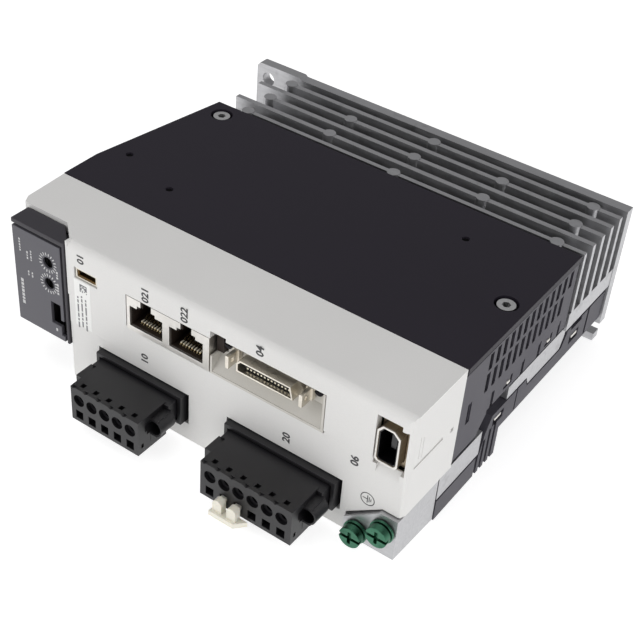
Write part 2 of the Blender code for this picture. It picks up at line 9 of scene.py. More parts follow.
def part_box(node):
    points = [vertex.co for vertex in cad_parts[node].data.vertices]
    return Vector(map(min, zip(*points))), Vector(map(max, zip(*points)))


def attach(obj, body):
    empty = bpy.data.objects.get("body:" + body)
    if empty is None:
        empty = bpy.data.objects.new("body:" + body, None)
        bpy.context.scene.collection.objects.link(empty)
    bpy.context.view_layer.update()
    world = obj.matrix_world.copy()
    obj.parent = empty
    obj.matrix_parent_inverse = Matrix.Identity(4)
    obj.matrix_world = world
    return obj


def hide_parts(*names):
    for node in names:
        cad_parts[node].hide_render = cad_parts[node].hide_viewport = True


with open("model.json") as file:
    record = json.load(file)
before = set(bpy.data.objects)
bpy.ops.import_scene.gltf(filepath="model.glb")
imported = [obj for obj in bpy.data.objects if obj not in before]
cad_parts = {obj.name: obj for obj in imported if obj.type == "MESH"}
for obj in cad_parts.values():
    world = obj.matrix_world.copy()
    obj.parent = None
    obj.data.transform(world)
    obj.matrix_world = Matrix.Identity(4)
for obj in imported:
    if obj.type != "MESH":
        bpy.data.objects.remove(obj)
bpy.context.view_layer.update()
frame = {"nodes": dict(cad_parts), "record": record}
MM = 0.001
YM = 56.0               # front face of the drive is at y = -56 mm
body_of = {n: b for b, ns in frame["record"]["behaviour"]["bodies"].items() for n in ns}


# ------------------------------------------------------------------ solids (mm, y measured from the front face)
def bm_box(bm, x0, x1, y0, y1, z0, z1):
    m = Matrix.Translation(Vector(((x0 + x1) / 2, (y0 + y1) / 2 - YM, (z0 + z1) / 2)) * MM)
    m = m @ Matrix.Diagonal(((x1 - x0) * MM, (y1 - y0) * MM, (z1 - z0) * MM, 1.0))
    bmesh.ops.create_cube(bm, size=1.0, matrix=m)


def bm_cyl(bm, axis, c, r, length, seg=24, r2=None):
    rot = {"x": Matrix.Rotation(pi / 2, 4, "Y"), "y": Matrix.Rotation(-pi / 2, 4, "X"),
           "z": Matrix.Identity(4)}[axis]
    m = Matrix.Translation(Vector((c[0], c[1] - YM, c[2])) * MM) @ rot
    bmesh.ops.create_cone(bm, cap_ends=True, segments=seg, radius1=r * MM,
                          radius2=(r if r2 is None else r2) * MM, depth=length * MM, matrix=m)


def bm_out(bm, pts, axis, a0, a1):
    area = sum(p[0] * q[1] - q[0] * p[1] for p, q in zip(pts, pts[1:] + pts[:1]))
    if area < 0:
        pts = pts[::-1]
    put = {"x": lambda u, v, w: (w, u, v), "y": lambda u, v, w: (u, w, v), "z": lambda u, v, w: (u, v, w)}[axis]

    def vert(u, v, w):
        x, y, z = put(u, v, w)
        return bm.verts.new(Vector((x, y - YM, z)) * MM)
    lo = [vert(u, v, a0) for u, v in pts]
    hi = [vert(u, v, a1) for u, v in pts]
    n = len(pts)
    faces = [bm.faces.new(lo), bm.faces.new(hi)]
    faces += [bm.faces.new((lo[i], lo[(i + 1) % n], hi[(i + 1) % n], hi[i])) for i in range(n)]
    bmesh.ops.recalc_face_normals(bm, faces=faces)


def bm_hull(bm, *pts):
    """Convex solid around a few corner points."""
    vs = [bm.verts.new(Vector((x, y - YM, z)) * MM) for x, y, z in pts]
    out = bmesh.ops.convex_hull(bm, input=vs)
    for key in ("geom_interior", "geom_unused"):
        bmesh.ops.delete(bm, geom=[g for g in out[key] if isinstance(g, bmesh.types.BMVert)], context="VERTS")


MAKE = {"box": bm_box, "cyl": bm_cyl, "out": bm_out, "hull": bm_hull}


def raw(name, solid):
    bm = bmesh.new()
    MAKE[solid[0]](bm, *solid[1:])
    me = bpy.data.meshes.new(name)
    bm.to_mesh(me)
    bm.free()
    ob = bpy.data.objects.new(name, me)
    bpy.context.scene.collection.objects.link(ob)
    return ob


def applied(ob):
    dg = bpy.context.evaluated_depsgraph_get()
    me = bpy.data.meshes.new_from_object(ob.evaluated_get(dg))
    old = ob.data
    ob.modifiers.clear()
    ob.data = me
    if old.users == 0 and not old.library:
        bpy.data.meshes.remove(old)
    return ob


def boolean(ob, solids, op):
    for s in solids:
        tool = raw("tool", s)
        m = ob.modifiers.new("b", "BOOLEAN")
        m.operation, m.solver, m.object = op, "EXACT", tool
        applied(ob)
        bpy.data.objects.remove(tool, do_unlink=True)
    return ob


def corners_of(me):
    co = [v.co for v in me.vertices]
    return [min(c[i] for c in co) for i in range(3)] + [max(c[i] for c in co) for i in range(3)]


def fault(me, box):
    """How badly rounding folded a mesh, in mm2 of doubled surface and mm outside its first box."""
    me.calc_loop_triangles()
    tri = {}
    for t in me.loop_triangles:
        tri[t.polygon_index] = tri.get(t.polygon_index, 0.0) + t.area
    bad = sum(abs(tri.get(p.index, 0.0) - p.area) for p in me.polygons) * 1e6
    pair = {}
    for p in me.polygons:
        for k in p.edge_keys:
            pair.setdefault(k, []).append(p)
    for ps in pair.values():
        if len(ps) == 2 and ps[0].normal.dot(ps[1].normal) < -0.9:
            bad += min(ps[0].area, ps[1].area) * 1e6
    b = corners_of(me)
    out = max([box[i] - b[i] for i in range(3)] + [b[i] - box[i] for i in range(3, 6)]) * 1e3
    return bad + (20.0 * out if out > 0.02 else 0.0)


def tidy(ob, width=0.0, segs=2, angle=30, clamp=False):
    """Merges the flat triangles, rounds the edges and keeps flat faces flat."""
    first = ob.data
    box = corners_of(first)
    best = None
    tries = [(0.2, 1.0, 0.0), (0.2, 1.0, 2.0), (0.2, 1.0, 4.0), (0.2, 0.7, 2.0), (0.2, 0.7, 5.0), (0.2, 0.5, 3.0),
             (0.2, 0.5, 8.0), (0.2, 0.3, 6.0), (None, 0.3, 0.0), (0.2, 0.2, 0.0), (None, 0.15, 0.0), (None, 0.0, 0.0)]
    for flat, part, room in (tries if width else [(0.2, 0.0, 0.0), (None, 0.0, 0.0)]):
        bm = bmesh.new()
        bm.from_mesh(first)
        bmesh.ops.remove_doubles(bm, verts=bm.verts, dist=2e-6)
        if flat:
            bmesh.ops.dissolve_limit(bm, angle_limit=radians(flat), verts=bm.verts, edges=bm.edges)
        bmesh.ops.dissolve_degenerate(bm, dist=2e-6, edges=bm.edges)
        if room:                     # only edges with enough surface beside them are rounded
            need = room * width * part * MM
            wl = bm.edges.layers.float.new("bevel_weight_edge")
            for e in bm.edges:
                ok = len(e.link_faces) == 2 and e.calc_face_angle(0.0) > radians(angle) and e.calc_length() > need
                if ok and all(f.calc_area() / e.calc_length() > need for f in e.link_faces):
                    e[wl] = 1.0
        me = bpy.data.meshes.new(ob.name)
        bm.to_mesh(me)
        bm.free()
        ob.data = me
        if width * part:
            m = ob.modifiers.new("bevel", "BEVEL")
            m.width, m.segments, m.limit_method = width * part * MM, segs, "WEIGHT" if room else "ANGLE"
            m.angle_limit, m.use_clamp_overlap, m.harden_normals = radians(angle), clamp, False
            applied(ob)
        score = fault(ob.data, box)
        if best is None or score < best[0] - 0.02:
            best = (score, ob.data, part, room)
        if score < 0.15:
            break
    ob.data = best[1]
    if best[0] > 0.15 or (width and best[2] < 1.0):
        print("rounded %s: part %.2f room %.1f fault %.2f" % (ob.name, best[2], best[3], best[0]))
    me = ob.data
    me.polygons.foreach_set("use_smooth", [True] * len(me.polygons))
    me.set_sharp_from_angle(angle=radians(32))
    if width:
        w = ob.modifiers.new("w", "WEIGHTED_NORMAL")
        w.keep_sharp, w.weight, w.mode = True, 60, "FACE_AREA"
        applied(ob)
    return ob


def dress(ob, mat, body):
    ob.data.materials.clear()
    ob.data.materials.append(mat)
    for p in ob.data.polygons:
        p.material_index = 0
    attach(ob, body)
    return ob


def refine(node, mat, width=0.25, segs=2, adds=(), cuts=(), angle=30, clamp=False):
    """A finished piece that starts from the CAD node's own shape and stands for it."""
    src = frame["nodes"][node]
    ob = bpy.data.objects.new(node + "_v", src.data.copy())
    bpy.context.scene.collection.objects.link(ob)
    if ob.data.has_custom_normals:
        bpy.context.view_layer.objects.active = ob
        for a in ("custom_normal",):
            if a in ob.data.attributes:
                ob.data.attributes.remove(ob.data.attributes[a])
    if adds or cuts:
        bm = bmesh.new()
        bm.from_mesh(ob.data)
        bmesh.ops.remove_doubles(bm, verts=bm.verts, dist=2e-6)
        bm.to_mesh(ob.data)
        bm.free()
    boolean(ob, adds, "UNION")
    boolean(ob, cuts, "DIFFERENCE")
    tidy(ob, width, segs, angle, clamp)
    dress(ob, mat, body_of[node])
    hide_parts(node)
    return ob


def extra(name, solids, mat, body="chassis", width=0.0, segs=2, cuts=(), merge=True, angle=30, clamp=False):
    """A new piece.  With merge the solids are united, otherwise they stay islands of one mesh."""
    if merge:
        ob = raw(name, solids[0])
        boolean(ob, solids[1:], "UNION")
    else:
        bm = bmesh.new()
        for s in solids:
            MAKE[s[0]](bm, *s[1:])
        me = bpy.data.meshes.new(name)
        bm.to_mesh(me)
        bm.free()
        ob = bpy.data.objects.new(name, me)
        bpy.context.scene.collection.objects.link(ob)
    boolean(ob, cuts, "DIFFERENCE")
    tidy(ob, width, segs, angle, clamp)
    return dress(ob, mat, body)


# ------------------------------------------------------------------ materials
def srgb(h):
    c = [int(h[i:i + 2], 16) / 255 for i in (0, 2, 4)]
    return tuple(x / 12.92 if x <= 0.04045 else ((x + 0.055) / 1.055) ** 2.4 for x in c) + (1.0,)


class Mat:
    def __init__(self, name):
        self.m = bpy.data.materials.new(name)
        self.m.use_nodes = True
        self.nt = self.m.node_tree
        self.b = self.nt.nodes["Principled BSDF"]
        self.co = self.node("ShaderNodeTexCoord").outputs["Object"]

    def node(self, kind, **sets):
        n = self.nt.nodes.new(kind)
        for k, v in sets.items():
            setattr(n, k, v)
        return n

    def link(self, a, b):
        self.nt.links.new(a, b)

    def noise(self, scale, detail=3.0, rough=0.5, stretch=None, lacun=2.0):
        n = self.node("ShaderNodeTexNoise")
        n.inputs["Scale"].default_value = scale
        n.inputs["Detail"].default_value = detail
        n.inputs["Roughness"].default_value = rough
        src = self.co
        if stretch:
            mp = self.node("ShaderNodeMapping")
            mp.inputs["Scale"].default_value = stretch
            self.link(src, mp.inputs["Vector"])
            src = mp.outputs["Vector"]
        self.link(src, n.inputs["Vector"])
        return n.outputs["Fac"]

    def ramp(self, fac, *stops):
        r = self.node("ShaderNodeValToRGB")
        e = r.color_ramp.elements
        while len(e) < len(stops):
            e.new(0.5)
        for el, (p, c) in zip(e, stops):
            el.position, el.color = p, c
        self.link(fac, r.inputs["Fac"])
        return r.outputs["Color"]

    def mix(self, fac, a, b):
        m = self.node("ShaderNodeMix", data_type="RGBA")
        for s, v in ((m.inputs[0], fac), (m.inputs[6], a), (m.inputs[7], b)):
            if hasattr(v, "links"):
                self.link(v, s)
            else:
                s.default_value = v
        return m.outputs[2]

    def range(self, fac, lo, hi, f0=0.0, f1=1.0):
        m = self.node("ShaderNodeMapRange")
        m.inputs["From Min"].default_value, m.inputs["From Max"].default_value = f0, f1
        m.inputs["To Min"].default_value, m.inputs["To Max"].default_value = lo, hi
        self.link(fac, m.inputs["Value"])
        return m.outputs["Result"]

    def bump(self, height, strength, dist, normal=None):
        n = self.node("ShaderNodeBump")
        n.inputs["Strength"].default_value = strength
        n.inputs["Distance"].default_value = dist
        self.link(height, n.inputs["Height"])
        if normal is not None:
            self.link(normal, n.inputs["Normal"])
        return n.outputs["Normal"]

    def set(self, **v):
        for k, x in v.items():
            s = self.b.inputs[k.replace("_", " ")]
            if hasattr(x, "links"):
                self.link(x, s)
            else:
                s.default_value = x
        return self


def shade(c, k):
    return tuple(min(1.0, x * k) for x in c[:3]) + (1.0,)


def moulded(name, colour, rough, var=0.06, grain=2600.0, depth=0.00004, strength=0.35, spec=0.5, edge_highlight=0.0):
    """Moulded plastic: fine erosion grain, slow colour drift and slightly polished patches; its last option paints a
    lighter highlight on sharp edges.
    """
    m = Mat(name)
    c = srgb(colour)
    slow = m.noise(28.0, 3.0)
    fine = m.noise(grain, 2.0, 0.6)
    col = m.ramp(slow, (0.3, shade(c, 1 - var)), (0.7, shade(c, 1 + var)))
    col = m.mix(m.range(fine, 0.0, 0.10, 0.35, 0.75), col, shade(c, 0.72))
    # painted highlight: sharp edges, found by pointiness, are lightened to 1.9 times the colour
    if edge_highlight:
        geo = m.node("ShaderNodeNewGeometry")
        edge = m.range(geo.outputs["Pointiness"], 0.0, edge_highlight, 0.53, 0.60)
        col = m.mix(edge, col, shade(c, 1.9))
    m.set(Base_Color=col, Roughness=m.range(slow, rough - 0.05, rough + 0.06, 0.3, 0.7),
          Normal=m.bump(fine, strength, depth))
    m.b.inputs["Specular IOR Level"].default_value = spec
    return m.m


def metal(name, colour, rough, brush=(1, 1, 1), scale=700.0, strength=0.25, depth=0.00003, var=0.08, spots=0.0, metallic=1.0):
    """Metal with fine directional working marks and slow tarnish."""
    m = Mat(name)
    c = srgb(colour)
    marks = m.noise(scale, 4.0, 0.65, stretch=brush)
    slow = m.noise(45.0, 4.0, 0.6)
    col = m.ramp(slow, (0.25, shade(c, 1 - var)), (0.75, shade(c, 1 + var)))
    col = m.mix(m.range(marks, 0.0, 0.25, 0.4, 0.8), col, shade(c, 0.75))
    if spots:
        sp = m.noise(220.0, 2.0, 0.4)
        col = m.mix(m.range(sp, 0.0, spots, 0.62, 0.74), col, shade(c, 0.55))
    m.set(Base_Color=col, Roughness=m.range(marks, rough - 0.08, rough + 0.12, 0.3, 0.75), Metallic=metallic,
          Normal=m.bump(marks, strength, depth))
    return m.m


M = {}
M["panel"] = moulded("side_panel_plastic", "25212A", 0.50, 0.05, 2200.0, 0.00005, 0.45, spec=0.22)
M["case"] = moulded("case_plastic", "46444C", 0.50, 0.05, 2400.0, 0.00005, 0.4, spec=0.3)
M["white"] = moulded("cover_plastic", "E3E2E0", 0.5, 0.015, 2600.0, 0.00003, 0.25, spec=0.3)
# recess tray: a darker, warmer copy of the cover white, painted shade of the recess
M["tray"] = moulded("cover_plastic_painted_recess_shade", "CDCAC3", 0.5, 0.02, 2600.0, 0.00003, 0.25, spec=0.3)
M["face"] = moulded("faceplate_film", "57565C", 0.42, 0.05, 3200.0, 0.00002, 0.2, spec=0.35)
M["bezel"] = moulded("bezel_plastic", "3A383D", 0.42, 0.05, 2600.0, 0.00003, 0.3, spec=0.3)
M["black"] = moulded("connector_plastic", "0F0E10", 0.42, 0.08, 2600.0, 0.00003, 0.3, spec=0.3)
# plug plastic with a painted highlight on its sharp edges
M["plug"] = moulded("plug_plastic", "141316", 0.42, 0.10, 2400.0, 0.00004, 0.4, spec=0.5, edge_highlight=0.6)
M["cream"] = moulded("lever_nylon", "ECE8DA", 0.4, 0.04, 1500.0, 0.00003, 0.25)
M["cream"].node_tree.nodes["Principled BSDF"].inputs["Subsurface Weight"].default_value = 0.15
M["cream"].node_tree.nodes["Principled BSDF"].inputs["Subsurface Radius"].default_value = (0.002, 0.0015, 0.001)
M["alu"] = metal("cast_aluminium", "BFBFC1", 0.44, (0.12, 1.0, 1.0), 900.0, 0.35, 0.00004, 0.06, 0.35)
M["steel"] = metal("bright_steel", "E4E4E4", 0.36, (1, 1, 1), 1500.0, 0.15, 0.00002)
M["tin"] = metal("tinned_steel", "E2DFDA", 0.36, (1, 1, 1), 1100.0, 0.2, 0.00002, 0.05)
M["nickel"] = metal("nickel_shell", "E4DED2", 0.32, (1.0, 0.2, 1.0), 1300.0, 0.2, 0.00002, 0.06)
M["brass"] = metal("brass_lining", "8E734A", 0.35, (1, 1, 1), 900.0, 0.2, 0.00002, 0.12)
M["gold"] = metal("gold_contact", "F3DFAE", 0.25, (1, 0.3, 1), 1600.0, 0.1, 0.00001, 0.05)
# contact tips: near-white, mostly non-metal colour, a painted glint on the real contacts
M["tips"] = metal("contact_tips_painted_glint", "FBF3DE", 0.4, (1, 0.3, 1), 1600.0, 0.1, 0.00001, 0.04, metallic=0.25)
M["green"] = metal("green_passivated_steel", "42705A", 0.34, (1, 1, 1), 900.0, 0.25, 0.00003, 0.22, 0.5)
M["board"] = moulded("circuit_board", "1F5A36", 0.4, 0.1, 500.0, 0.00004, 0.3)
M["sleeve"] = moulded("capacitor_sleeve", "23232F", 0.35, 0.05, 900.0, 0.00002, 0.2)
M["print"] = moulded("dark_print", "3A3A3C", 0.55, 0.04, 2500.0, 0.00001, 0.1)
M["mark"] = moulded("light_print", "C8C8C8", 0.5, 0.03, 2500.0, 0.00001, 0.1)
M["sticker"] = moulded("paper_sticker", "F0F0EE", 0.45, 0.02, 1800.0, 0.00001, 0.15)
M["grey_print"] = moulded("grey_print", "77777A", 0.5, 0.05, 2500.0, 0.00001, 0.1)
# near-black: painted shade for the sheets behind vents, latch slots, screw recesses, dimples and sockets, and the own
# black of the rotary switches and dials
M["deep"] = moulded("painted_shade_and_dial_black", "0A090A", 0.75, 0.05, 1500.0, 0.00002, 0.2, spec=0.1)
M["brown"] = moulded("socket_brown", "2A211C", 0.5, 0.10, 1500.0, 0.00002, 0.2, spec=0.3)
# bronze tone of the encoder shell: partly its own colour, partly painted shade of the pocket around it
M["bronze"] = metal("bronze_shell_with_painted_shade", "A39682", 0.42, (1, 0.3, 1), 900.0, 0.2, 0.00002, 0.12)
M["gloss"] = moulded("gloss_black", "0C0B0D", 0.16, 0.05, 1500.0, 0.00001, 0.1, spec=0.6)
M["oxide"] = metal("black_oxide_steel", "2A292B", 0.34, (1, 1, 1), 1500.0, 0.2, 0.00002, 0.1)

# ------------------------------------------------------------------ pieces
refine("heatsink_chassis", M["alu"], 0.0, cuts=[("box", 74.0, 80.0, 125.0, 140.0, -1.0, 2.97)])
VENT_Y = [41.8 + 4.17 * k for k in range(13)]
refine("case_body", M["case"], 0.2, cuts=[
    ("box", 71.0, 80.0, y - 1.1, y + 1.1, 45.2, 51.2) for y in VENT_Y] + [
    ("box", 71.0, 80.0, y - 1.1, y + 1.1, 37.0, 43.7) for y in VENT_Y[:12]] + [
    ("box", 71.0, 80.0, 46.7, 48.2, 24.0, 32.9), ("box", 71.0, 80.0, 65.7, 67.2, 24.0, 31.9),
    ("box", 71.0, 80.0, 76.4, 77.9, 24.0, 31.9), ("box", 71.0, 80.0, 89.8, 91.2, 24.0, 31.4),
    ("out", [(54.6, 28.2), (59.9, 28.2), (59.9, 31.8), (58.5, 31.8), (58.5, 29.4), (54.6, 29.4)], "x", 72.0, 80.0),
    ("out", [(81.4, 27.6), (86.0, 27.6), (86.0, 31.2), (84.7, 31.2), (84.7, 28.8), (81.4, 28.8)], "x", 72.0, 80.0),
    ("box", 60.0, 80.0, 45.2, 99.0, 25.0, 26.95), ("box", 73.0, 80.0, 25.0, 99.0, 51.95, 53.5),
    ("box", 74.2, 80.0, 31.4, 33.6, 30.9, 38.6)])
extra("vent_shade", [("box", 71.5, 71.9, 31.0, 96.4, 26.1, 49.4)] + [("box", 73.5, 73.9, y - 1.08, y + 1.08, 45.22, 51.18) for y in VENT_Y] + [
    ("box", 73.5, 73.9, y - 1.08, y + 1.08, 36.6, 43.68) for y in VENT_Y[:12]] + [
    ("box", 73.5, 73.9, y0, y1, z0, z1) for y0, y1, z0, z1 in (
        (46.72, 48.4, 26.9, 32.8), (65.72, 67.4, 26.9, 31.9), (76.42, 78.1, 26.9, 31.9), (89.82, 91.3, 26.9, 31.4),
        (54.62, 59.88, 28.22, 31.78), (81.42, 85.98, 27.62, 31.18), (31.6, 33.5, 31.0, 38.5))],
      M["deep"], merge=False)
extra("case_catches", [("box", 73.9, 75.0, 56.2, 58.0, 29.6, 30.7), ("box", 73.9, 75.0, 82.4, 84.2, 29.0, 30.1),
                       ("box", 73.2, 74.5, 53.4, 57.4, 16.5, 17.6), ("box", 73.2, 74.5, 105.2, 109.0, 16.3, 17.6)],
      M["tin"], width=0.3, merge=False)
extra("latch_shade", [("box", 73.0, 73.2, 51.6, 58.9, 14.5, 18.6), ("box", 73.0, 73.2, 103.0, 110.3, 14.4, 18.8)],
      M["deep"], merge=False)
PITCH = 5.08
SCREWS = ((-60.6, 89.3), (68.4, 59.6))
DIMPLES = ((-66.8, 48.9), (-43.6, 41.6), (42.7, 80.2))
refine("side_cover", M["panel"], 0.3, cuts=[("cyl", "z", (x, y, 55.0), 3.8, 8.0, 40) for x, y in SCREWS] + [
    ("cyl", "z", (x, y, 55.0), 1.3, 1.9, 24) for x, y in DIMPLES])
extra("screw_shade", [("cyl", "z", (x, y, 52.75), 3.76, 0.2, 40) for x, y in SCREWS], M["deep"],
      cuts=[("cyl", "z", (x, y, 52.75), 2.0, 1.0, 24) for x, y in SCREWS], merge=False)
extra("dimple_shade", [("cyl", "z", (x, y, 54.12), 1.28, 0.12, 24) for x, y in DIMPLES], M["deep"], merge=False)
refine("lower_cover", M["case"], 0.2, cuts=[
    ("box", 73.3, 80.0, 52.2, 58.6, 15.0, 18.3), ("box", 73.3, 80.0, 103.4, 109.9, 14.8, 18.5),
    ("box", 73.3, 80.0, 103.2, 111.0, 20.9, 30.0), ("box", 72.0, 80.0, 115.5, 116.9, 11.5, 30.0)])
refine("front_cover", M["white"], 0.3, adds=[
    ("hull", (-48.3, 0.0, 24.8), (-26.2, 0.0, 24.8), (-48.3, 0.0, 35.8), (-26.2, 0.0, 35.8), (-48.3, 0.9, 22.9), (-22.0, 0.9, 22.9),
     (-48.3, 0.9, 35.8), (-26.0, 0.9, 35.8), (-22.0, 0.9, 32.6))],
       cuts=[("box", 74.3, 80.0, 2.9, 17.9, 35.3, 36.6), ("box", 74.0, 80.0, 22.2, 23.7, 34.6, 36.3),
             ("box", 74.48, 80.0, 4.6, 4.85, 38.0, 46.0), ("box", 74.48, 80.0, 6.2, 6.45, 37.4, 45.0)])
refine("io_recess", M["tray"], 0.25)
refine("display_bezel", M["bezel"], 0.3)
refine("display_faceplate", M["face"], 0.15)
for n, (x, y) in zip(("case_screw_1", "case_screw_2"), SCREWS):
    refine(n, M["steel"], 0.6, 4, cuts=[("cyl", "z", (x, y, 53.9), 1.4, 2.4, 6)])
extra("socket_shade", [("cyl", "z", (x, y, 52.85), 1.2, 0.2, 6) for x, y in SCREWS], M["deep"], merge=False)
refine("io_screw", M["oxide"], 0.25)
extra("io_screw_left", [("cyl", "y", (11.0, 3.7, 44.8), 1.35, 1.5, 28)], M["oxide"], width=0.25,
      cuts=[("box", 9.0, 13.0, 2.5, 3.4, 44.6, 45.0)])
extra("io_screw_ring", [("cyl", "y", (42.6, 4.35, 45.0), 2.1, 0.5, 32)], M["nickel"], width=0.12,
      cuts=[("cyl", "y", (42.6, 4.3, 45.0), 1.62, 2.0, 32)])
# painted shade: a dark brown block filling the gap beside the LAN frame
extra("lan_gap_painted_shade", [("box", 6.95, 9.5, 3.0, 7.0, 40.8, 47.9)], M["brown"], width=0.1)
# tips of the LAN contacts and ticks of the I/O contacts in the lightened material, a painted glint
extra("lan_contact_tips", [("box", x - 3.8 + 1.02 * k, x - 3.35 + 1.02 * k, 2.2, 3.9, 37.05, 37.4) for x in (-17.35, -2.2)
                           for k in range(8)], M["tips"], width=0.08, merge=False)
extra("io_contacts", [("box", 19.75 + 1.2 * k, 20.3 + 1.2 * k, 0.42, 0.66, 42.3, 42.85) for k in range(13)],
      M["tips"], width=0.06, merge=False)
for n in ("monitor_header", "usb_tongue", "lan_insert_1", "lan_insert_2", "io_insert"):
    refine(n, M["black"], 0.12)
for n in ("rotary_switch_1", "rotary_switch_2", "rotary_dial_1", "rotary_dial_2"):
    refine(n, M["deep"], 0.12)
refine("encoder_insert", M["gloss"], 0.2)
for n in ("power_module", "relay", "transformer", "board_connector"):
    refine(n, M["black"], 0.3)
for n in ("monitor_contacts", "lan_contacts_1", "lan_contacts_2"):
    refine(n, M["gold"], 0.05)
refine("lan_shield", M["tin"], 0.12)
for n in ("io_shell", "usb_shell", "io_latch_1", "io_latch_2"):
    refine(n, M["nickel"], 0.12)
refine("encoder_shell", M["bronze"], 0.12)
ENC = [(63.8, 35.8), (64.6, 35.0), (70.2, 34.9), (71.0, 35.8), (71.0, 46.0), (68.9, 47.9), (65.4, 47.9), (63.8, 46.0)]


def enc(kx, kz):
    return [(67.4 + (x - 67.4) * kx, 41.4 + (z - 41.4) * kz) for x, z in ENC]


extra("encoder_rim", [("out", enc(1.02, 1.012), "y", -0.15, 0.3)], M["tin"], width=0.1,
      cuts=[("out", enc(0.86, 0.92), "y", -1.0, 2.0)])
extra("encoder_lining", [("out", enc(0.835, 0.905), "y", 0.2, 10.9)], M["gloss"],
      cuts=[("out", enc(0.76, 0.865), "y", -1.0, 10.6)])
# painted shade: a bronze plate that fills the pocket between the cover opening and the encoder shell
extra("encoder_pocket_painted_shade", [("box", 63.35, 73.05, 3.6, 4.6, 33.5, 50.85)], M["bronze"],
      cuts=[("out", enc(1.04, 1.03), "y", 0.0, 9.0)])
extra("usb_lining", [("box", -44.66, -37.34, 0.95, 8.8, 43.74, 46.26)], M["brass"],
      cuts=[("box", -44.35, -37.65, 0.0, 8.6, 44.02, 45.98)])
for n in ("power_header", "motor_header"):
    refine(n, M["plug"], 0.3)
for n, poles in (("power_plug", 5), ("motor_plug", 6)):
    lo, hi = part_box(n)
    x1 = {"power_plug": -6.0, "motor_plug": 50.0}[n]
    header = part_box(n.replace("plug", "header"))
    mid = (header[0][0] + header[1][0]) / 2 / MM
    cx = [mid + PITCH * (k - (poles - 1) / 2) for k in range(poles)]
    yf, top = lo[1] / MM + YM, hi[2] / MM
    refine(n, M["plug"], 0.22, adds=[("cyl", "y", (x1 + 1.0, -8.15, 13.4), 3.2, 6.3, 28)], cuts=[
        ("cyl", "y", (x1 + 1.3, -10.6, 13.4), 2.4, 5.0, 24), ("box", x1 + 0.08, x1 + 5.0, -12.0, -4.0, 6.0, 10.3)] + [
        ("out", [(x - 1.5, top + 0.3), (x + 1.5, top + 0.3), (x, top - 0.55)], "y", yf - 1.0, yf + 0.9)
        for x in [cx[0] - PITCH / 2 + 0.2] + [c + PITCH / 2 for c in cx[:-1]]])
    extra(n + "_wells", [("cyl", "y", (x, yf + 1.7, 13.9), 2.09, 0.7, 24) for x in cx], M["plug"],
          body=body_of[n], cuts=[("cyl", "y", (x + 0.35, yf + 1.7, 14.2), 1.45, 2.0, 24) for x in cx], merge=False)
refine("clamp_lever", M["cream"], 0.3)
for n in ("earth_washer_1", "earth_washer_2", "earth_screw_1", "earth_screw_2"):
    refine(n, M["green"], 0.18)
for n in ("display_board", "power_board", "control_board"):
    refine(n, M["board"], 0.1)
for n in ("bus_capacitor_1", "bus_capacitor_2"):
    refine(n, M["sleeve"], 0.6, 3)
for n in ("standoff_1", "standoff_2", "standoff_3"):
    refine(n, M["steel"], 0.2)

# ------------------------------------------------------------------ print on the front (generic numbers and marks)
def digits(name, text, x, z, y, size, mat):
    """Small printed number; it reads along +Z with its top towards -X, as on a drive that stands up."""
    cu = bpy.data.curves.new(name, "FONT")
    cu.body, cu.size, cu.align_x, cu.align_y = text, size * MM, "CENTER", "CENTER"
    cu.extrude, cu.resolution_u, cu.offset = 0.02 * MM, 3, 0.00010
    tmp = bpy.data.objects.new(name, cu)
    bpy.context.scene.collection.objects.link(tmp)
    dg = bpy.context.evaluated_depsgraph_get()
    me = bpy.data.meshes.new_from_object(tmp.evaluated_get(dg))
    bpy.data.objects.remove(tmp, do_unlink=True)
    ob = bpy.data.objects.new(name, me)
    bpy.context.scene.collection.objects.link(ob)
    # text X axis -> +Z, text Y axis -> -X, text normal -> -Y
    turn = Matrix(((0, -1, 0), (0, 0, -1), (1, 0, 0))).to_4x4()
    me.transform(Matrix.Translation(Vector((x, y - YM, z)) * MM) @ turn)
    return dress(ob, mat, "chassis")


FY, LY = -0.02, 0.43     # faces of the upper and the lower part of the front
for name, text, x, z, y in (("port_number_1", "01", -42.6, 51.0, FY), ("port_number_2", "021", -17.3, 50.2, FY),
                            ("port_number_3", "022", -2.6, 50.4, FY), ("port_number_4", "10", -18.3, 25.3, LY),
                            ("port_number_5", "04", 24.4, 51.6, FY), ("port_number_6", "20", 34.7, 24.8, LY),
                            ("port_number_7", "06", 57.8, 30.1, LY)):
    digits(name, text, x, z, y, 3.6, M["print"])

ex, ez = 63.2, 18.6
extra("earth_mark_ring", [("cyl", "y", (ex, LY, ez), 2.35, 0.06, 40)], M["print"],
      cuts=[("cyl", "y", (ex, LY, ez), 2.08, 1.0, 40)])
extra("earth_mark_bars", [("box", ex - 1.6, ex - 0.1, LY - 0.03, LY + 0.03, ez - 0.13, ez + 0.13),
                          ("box", ex - 0.15, ex + 0.11, LY - 0.03, LY + 0.03, ez - 1.4, ez + 1.4),
                          ("box", ex + 0.42, ex + 0.68, LY - 0.03, LY + 0.03, ez - 0.95, ez + 0.95),
                          ("box", ex + 0.98, ex + 1.24, LY - 0.03, LY + 0.03, ez - 0.5, ez + 0.5)], M["print"],
      merge=False)

